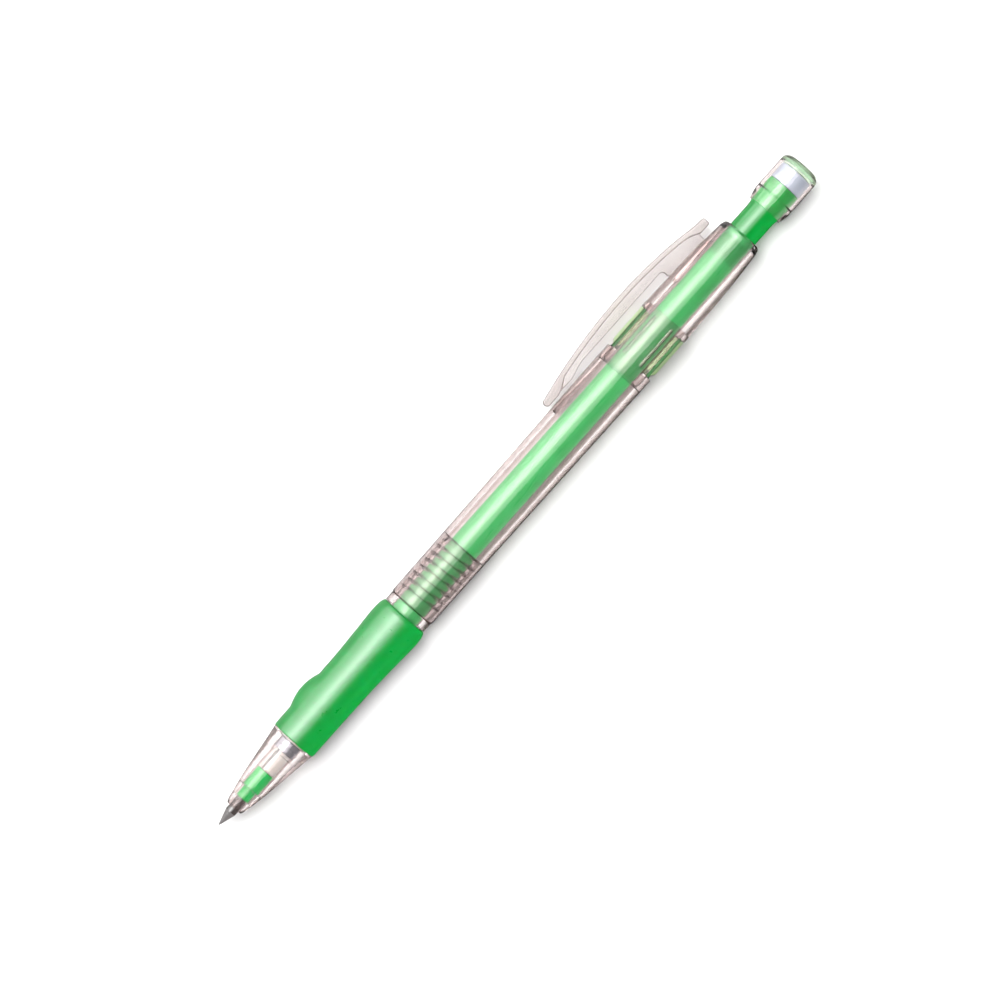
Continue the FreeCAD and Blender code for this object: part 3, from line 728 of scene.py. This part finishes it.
def barrel():
    """The clear tube with its socket and its two snap windows."""
    front, rear = ends("barrel")
    full = radius_of("barrel")
    outline = [(front, 3.88, 0.06), (front, 4.3, 0.22)]
    outline += flow([(front + 0.4, 4.32), (66.7, 4.43), (103.0, full - 0.01), (rear - 0.3, full)], 24)
    outline += [(rear, full - 0.03, 0), (rear, 3.92), (100.4, 3.92), (100.4, 3.55)]
    outline += [(61.55, 3.55), (61.55, 3.88)]
    piece = turned("barrel_tube", rounded(outline))
    start, end, half = 103.0, 111.6, 2.2
    bm = bmesh.new()
    for side in (-1, 1):
        low = at(start, 0) + Vector((0, 3.0 * side * MM, -half * MM))
        high = at(end, 0) + Vector((0, 5.6 * side * MM, half * MM))
        middle, size = (low + high) / 2, high - low
        block = Matrix.Translation(middle) @ Matrix.Diagonal((size.x, abs(size.y), size.z, 1))
        made = bmesh.ops.create_cube(bm, matrix=block)["verts"]
        uprights = [e for e in {e for v in made for e in v.link_edges}
                    if abs(e.verts[0].co.y - e.verts[1].co.y) > MM]
        bmesh.ops.bevel(bm, geom=uprights, offset=0.5 * MM, segments=4, affect="EDGES", profile=0.5)
    combine(piece, new_piece("window_cut", bm), "DIFFERENCE")
    fit(piece, CLEAR, "barrel", "clear_plastic", "barrel")


def clip_sleeve():
    """The clear rear sleeve with its spigot and its two snap barbs."""
    front, rear = ends("clip_sleeve")
    step = ends("barrel")[1] + 0.02
    spigot, bore = 3.88, 3.0
    outline = [(front, bore, 0.1), (front, spigot - 0.2, 0.05), (front + 0.6, spigot, 0.1), (step, spigot)]
    outline += [(step, 4.66, 0)]
    outline += flow([(step + 0.4, 4.66), (118.0, 4.53), (123.5, 4.36), (130.0, 3.94)], 10)
    outline += [(131.2, 3.72, 0.4), (rear, 3.3, 0.15), (rear, bore, 0.05)]
    piece = turned("rear_sleeve", rounded(outline))
    slit_front, slit_rear, slit_turn = 103.5, 111.6, math.radians(62)
    for turn in (slit_turn, -slit_turn, math.pi - slit_turn, slit_turn - math.pi):
        combine(piece, bar("slit", at(slit_front, 3.5, turn), at(slit_rear, 3.5, turn), 0.25), "DIFFERENCE")
    fit(piece, INNER_CLEAR, "barrel", "clear_plastic", "clip_sleeve")
    change_behind(piece, step + 0.02, CLEAR)
    change_behind(piece, 130.3, INNER_CLEAR)
    # Two small dark blocks just inside the sleeve's end, on the clip's side and opposite: painted dark spots
    # standing in for dark reflections there.
    stop = rounded([(130.12, 3.6), (130.12, 3.95), (130.62, 3.86), (130.62, 3.6)], 0.05)
    for name, side in (("dark_spot_clip", 0), ("dark_spot_near", math.pi)):
        block = turned(name, stop, sides=24, sector=(side, math.radians(80)))
        fit(block, DARK_SPOT_METAL, "barrel", "spring_steel", "clip_sleeve")
    for side in (-1, 1):
        corners = [(103.3, 3.9), (104.4, 4.62, 0.1), (111.4, 4.62, 0.12), (111.4, 3.9)]
        tongue = slab("tongue", [(s, r * side) for s, r in rounded(corners, 0)], 2.05, 0.06)
        tongue.name = "snap_tongue_" + ("near" if side < 0 else "clip")
        fit(tongue, TONGUE_GREEN_LIGHT, "barrel", "clear_plastic", "clip_sleeve")


def arc(first, last, radius, steps=14):
    """Corners on the shorter arc between two corners; a positive radius bulges to the left."""
    a, b = Vector(first), Vector(last)
    half = (b - a) / 2
    left = Vector((-half.y, half.x)).normalized()
    centre = a + half - left * math.copysign(math.sqrt(radius**2 - half.length**2), radius)
    start = math.atan2(a.y - centre.y, a.x - centre.x)
    sweep = math.atan2(b.y - centre.y, b.x - centre.x) - start
    sweep = (sweep + math.pi) % (2 * math.pi) - math.pi
    reach = abs(radius)
    return [
        (centre.x + reach * math.cos(start + sweep * k / steps),
         centre.y + reach * math.sin(start + sweep * k / steps), 0)
        for k in range(steps + 1)
    ]


def clip():
    """The clip in one moulding: a flange along its back on a narrower rib, with its root, web and tail."""
    tip = ends("clip_arm")[0]
    top = (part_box("clip_arm")[1].y - AXIS.y) / MM
    tail = 129.2
    back = arc((tip + 0.35, 6.44), (110.5, top), 112.0, 24)[:-1]
    back += arc((110.5, top), (117.2, 8.3), 67.0, 8)[:-1]
    back += arc((117.2, 8.3), (125.6, 7.2), 67.0, 10)[:-1]
    back += arc((125.6, 7.2), (tail - 0.6, 6.8), -20.0, 6)
    thick, under = 0.9, 0.25
    flange = arc((tip + 0.6, 5.1), (tip + 0.35, 6.44), 0.69, 8)[:-1] + back
    flange += [(tail, 6.66, 0.5), (tail, 5.33, 0.3), (127.1, 5.33, 0.3), (125.4, 6.25, 0.3)]
    flange += [(s, r - thick, 0) for s, r, _ in reversed(back) if 93.8 < s < 124.5]
    flange += [(91.4, 5.12, 0.6)]
    rib = [(s, r - under, 0) for s, r, _ in back[2:-2]]
    rib += [(tail - 0.6, 6.45, 0.3), (tail - 0.6, 5.75, 0.3), (126.7, 5.5, 0.3), (126.7, 4.16, 0)]
    rib += [(123.5, 4.33, 0), (118.5, 4.42, 0)] + arc((117.4, 4.56), (117.4, 6.0), -0.7201, 10)[3:]
    rib += [(97.8, 6.0, 0.6), (96.6, 5.75, 0.4), (94.9, 5.25, 0.4), (tip + 2.2, 5.35, 0.3)]
    piece = slab("clip_moulding", rounded(flange), 2.2, 0.18)
    combine(piece, slab("clip_rib", rounded(rib), 0.95, 0.14), "UNION")
    piece.data.materials.append(CLIP_CLEAR)
    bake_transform(piece)
    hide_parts("clip_arm")


def button():
    """The push button: a spigot in the lead tube, a stem that flares to a cup, and the eraser in it."""
    front, rear = ends("button")
    spigot, shoulder, stem, cup = 2.17, 131.0, 2.71, radius_of("button")
    outline = [(front, 0), (front, spigot, 0.2), (shoulder, spigot), (shoulder, stem, 0.12)]
    outline += flow([(shoulder + 0.5, stem), (135.7, stem), (136.3, 2.75), (137.6, cup - 0.06),
                     (138.4, cup)], 6)
    outline += [(rear, cup, 0.15), (rear, 2.35, 0.1), (138.2, 2.35), (138.2, 0)]
    fit(turned("push_button", rounded(outline)), DEEP_GREEN, "button", "green_plastic", "button")
    front, rear = ends("eraser")
    head = radius_of("eraser")
    outline = [(front, 0), (front, 2.34), (142.05, 2.34), (142.05, head, 0.15), (rear, head, 0.5), (rear, 0)]
    fit(turned("eraser_plug", rounded(outline, 0.08, 5)), VINYL, "button", "eraser_rubber", "eraser")


def cap():
    """The clear cap: a flared skirt, a plain wall and a rounded closed end."""
    front, rear = ends("cap")
    full, bore = radius_of("cap"), 3.08
    outline = [(front, bore - 0.03, 0.04), (front, 3.2, 0.08)]
    outline += flow([(front + 0.25, 3.27), (front + 1.0, 3.46), (front + 2.2, full), (145.5, full)], 6)
    outline += [(rear - 0.75, full - 0.08, 0.4), (rear - 0.12, 2.85, 0.4), (rear, 2.2, 0.3), (rear, 0)]
    outline += [(145.5, 0), (145.5, bore, 0.5), (front + 2.75, bore, 0.1)]
    outline += [(front + 2.5, 3.24, 0.1), (front + 0.6, 3.24, 0.2)]
    piece = turned("end_cap", rounded(outline, steps=4))
    fit(piece, PALE, "cap", "clear_plastic", "cap")
    # The closed end gets the green tint: painted green light from the cup.
    change_behind(piece, 145.3, CAP_END_GREEN_LIGHT)


# ---------------------------------------------------------------- floor, lights and camera

def stage():
    """A wide plain floor just under the part."""
    bm = bmesh.new()
    bmesh.ops.create_grid(bm, x_segments=2, y_segments=2, size=3.0)
    floor = new_piece("floor", bm)
    floor.location.z = CAD_BOX[0][2] - 0.02 * MM
    floor.data.materials.append(floor_paint())
    floor.visible_glossy = False


def panel(name, first, last, length, radiance, kind):
    """A soft rectangular light that faces the holder. It covers the tilts from first to last degrees, counted
    from straight above towards the clip's side. A wash lights surfaces but isn't mirrored by them, and a
    sheen is only mirrored."""
    distance = 0.7
    tilt, half = math.radians(first + last) / 2, math.radians(last - first) / 2
    light = bpy.data.lights.new(name, "AREA")
    light.shape = "RECTANGLE"
    light.size = length
    light.size_y = 2 * distance * math.tan(half)
    light.energy = radiance * math.pi * light.size * light.size_y
    lamp = bpy.data.objects.new(name, light)
    lamp.matrix_world = (
        Matrix.Translation(AXIS) @ Matrix.Rotation(-tilt, 4, "X") @ Matrix.Translation((0, 0, distance))
    )
    lamp.visible_glossy = kind != "wash"
    lamp.visible_transmission = kind != "wash"
    lamp.visible_diffuse = kind != "sheen"
    bpy.context.scene.collection.objects.link(lamp)


def sky(nodes, links, towards_clip, *stops):
    """World colour through (place, colour) stops, where a place goes from -1 to 1 towards the clip's side."""
    colours = nodes.new("ShaderNodeValToRGB")
    while len(colours.color_ramp.elements) < len(stops):
        colours.color_ramp.elements.new(0.5)
    for element, (place, colour) in zip(colours.color_ramp.elements, stops):
        element.position = (place + 1) / 2
        element.color = (*colour, 1)
    links.new(towards_clip, colours.inputs["Fac"])
    return colours.outputs["Color"]


def lights():
    """Soft lamps on the clip's side of the holder, one low on the other side, and a world that is pale
    towards the clip and dark away from it."""
    panel("wash_lower", -8, 4, 0.36, 5.0, "wash")
    panel("wash", 4, 30, 0.36, 14.5, "wash")
    panel("wash_upper", 30, 50, 0.36, 6.0, "wash")
    panel("wash_side", 50, 88, 0.36, 1.5, "wash")
    panel("wash_low", -89, -80, 0.6, 44.0, "wash")
    panel("sheen_lower", -16, 4, 0.8, 3.6, "sheen")
    panel("sheen_inner", 4, 14, 0.8, 9.0, "sheen")
    panel("sheen", 14, 36, 0.8, 11.5, "sheen")
    panel("sheen_upper", 36, 56, 0.8, 6.0, "sheen")
    panel("sheen_side", 56, 88, 0.8, 3.2, "sheen")
    world = bpy.data.worlds.new("studio")
    bpy.context.scene.world = world
    world.use_nodes = True
    nodes, links = world.node_tree.nodes, world.node_tree.links
    direction = nodes.new("ShaderNodeSeparateXYZ")
    links.new(nodes.new("ShaderNodeTexCoord").outputs["Generated"], direction.inputs["Vector"])
    across = nodes.new("ShaderNodeMapRange")
    across.inputs["From Min"].default_value = -1.0
    across.inputs["From Max"].default_value = 1.0
    links.new(direction.outputs["Y"], across.inputs["Value"])
    towards_clip = across.outputs["Result"]
    above = sky(nodes, links, towards_clip, (-1.0, (0.1, 0.08, 0.08)), (-0.85, (0.08, 0.06, 0.06)),
                (-0.7, (0.05, 0.035, 0.035)), (-0.15, (0.03, 0.02, 0.02)), (0.1, (0.1, 0.1, 0.1)),
                (1.0, (0.9, 0.9, 0.9)))
    below = sky(nodes, links, towards_clip, (-1.0, (0.05, 0.035, 0.03)), (-0.1, (0.05, 0.035, 0.03)),
                (0.3, (0.5, 0.47, 0.47)), (1.0, (0.95, 0.93, 0.93)))
    height = nodes.new("ShaderNodeMapRange")
    height.inputs["From Min"].default_value = -0.04
    height.inputs["From Max"].default_value = 0.04
    links.new(direction.outputs["Z"], height.inputs["Value"])
    both = nodes.new("ShaderNodeMix")
    both.data_type = "RGBA"
    links.new(height.outputs["Result"], both.inputs["Factor"])
    links.new(below, both.inputs["A"])
    links.new(above, both.inputs["B"])
    links.new(both.outputs["Result"], nodes["Background"].inputs["Color"])


def camera():
    """A long lens straight above the holder, turned so that it runs from lower left to upper right."""
    height, seen, slant = 0.9, 0.16667, math.radians(48.42)
    lens = bpy.data.cameras.new("camera")
    lens.sensor_width = 36.0
    lens.lens = lens.sensor_width * height / seen
    lens.clip_end = 10.0
    viewer = bpy.data.objects.new("camera", lens)
    middle = at(71.6, 0.87)
    viewer.location = (middle.x, middle.y, AXIS.z + height)
    viewer.rotation_euler = (0, 0, -slant)
    bpy.context.scene.collection.objects.link(viewer)
    bpy.context.scene.camera = viewer


for build in (lead, front_section, grip, lead_retainer, chuck, clutch, return_spring, lead_tube,
              barrel, clip_sleeve, clip, button, cap, stage, lights, camera):
    build()
bpy.context.scene.view_settings.view_transform = "Standard"
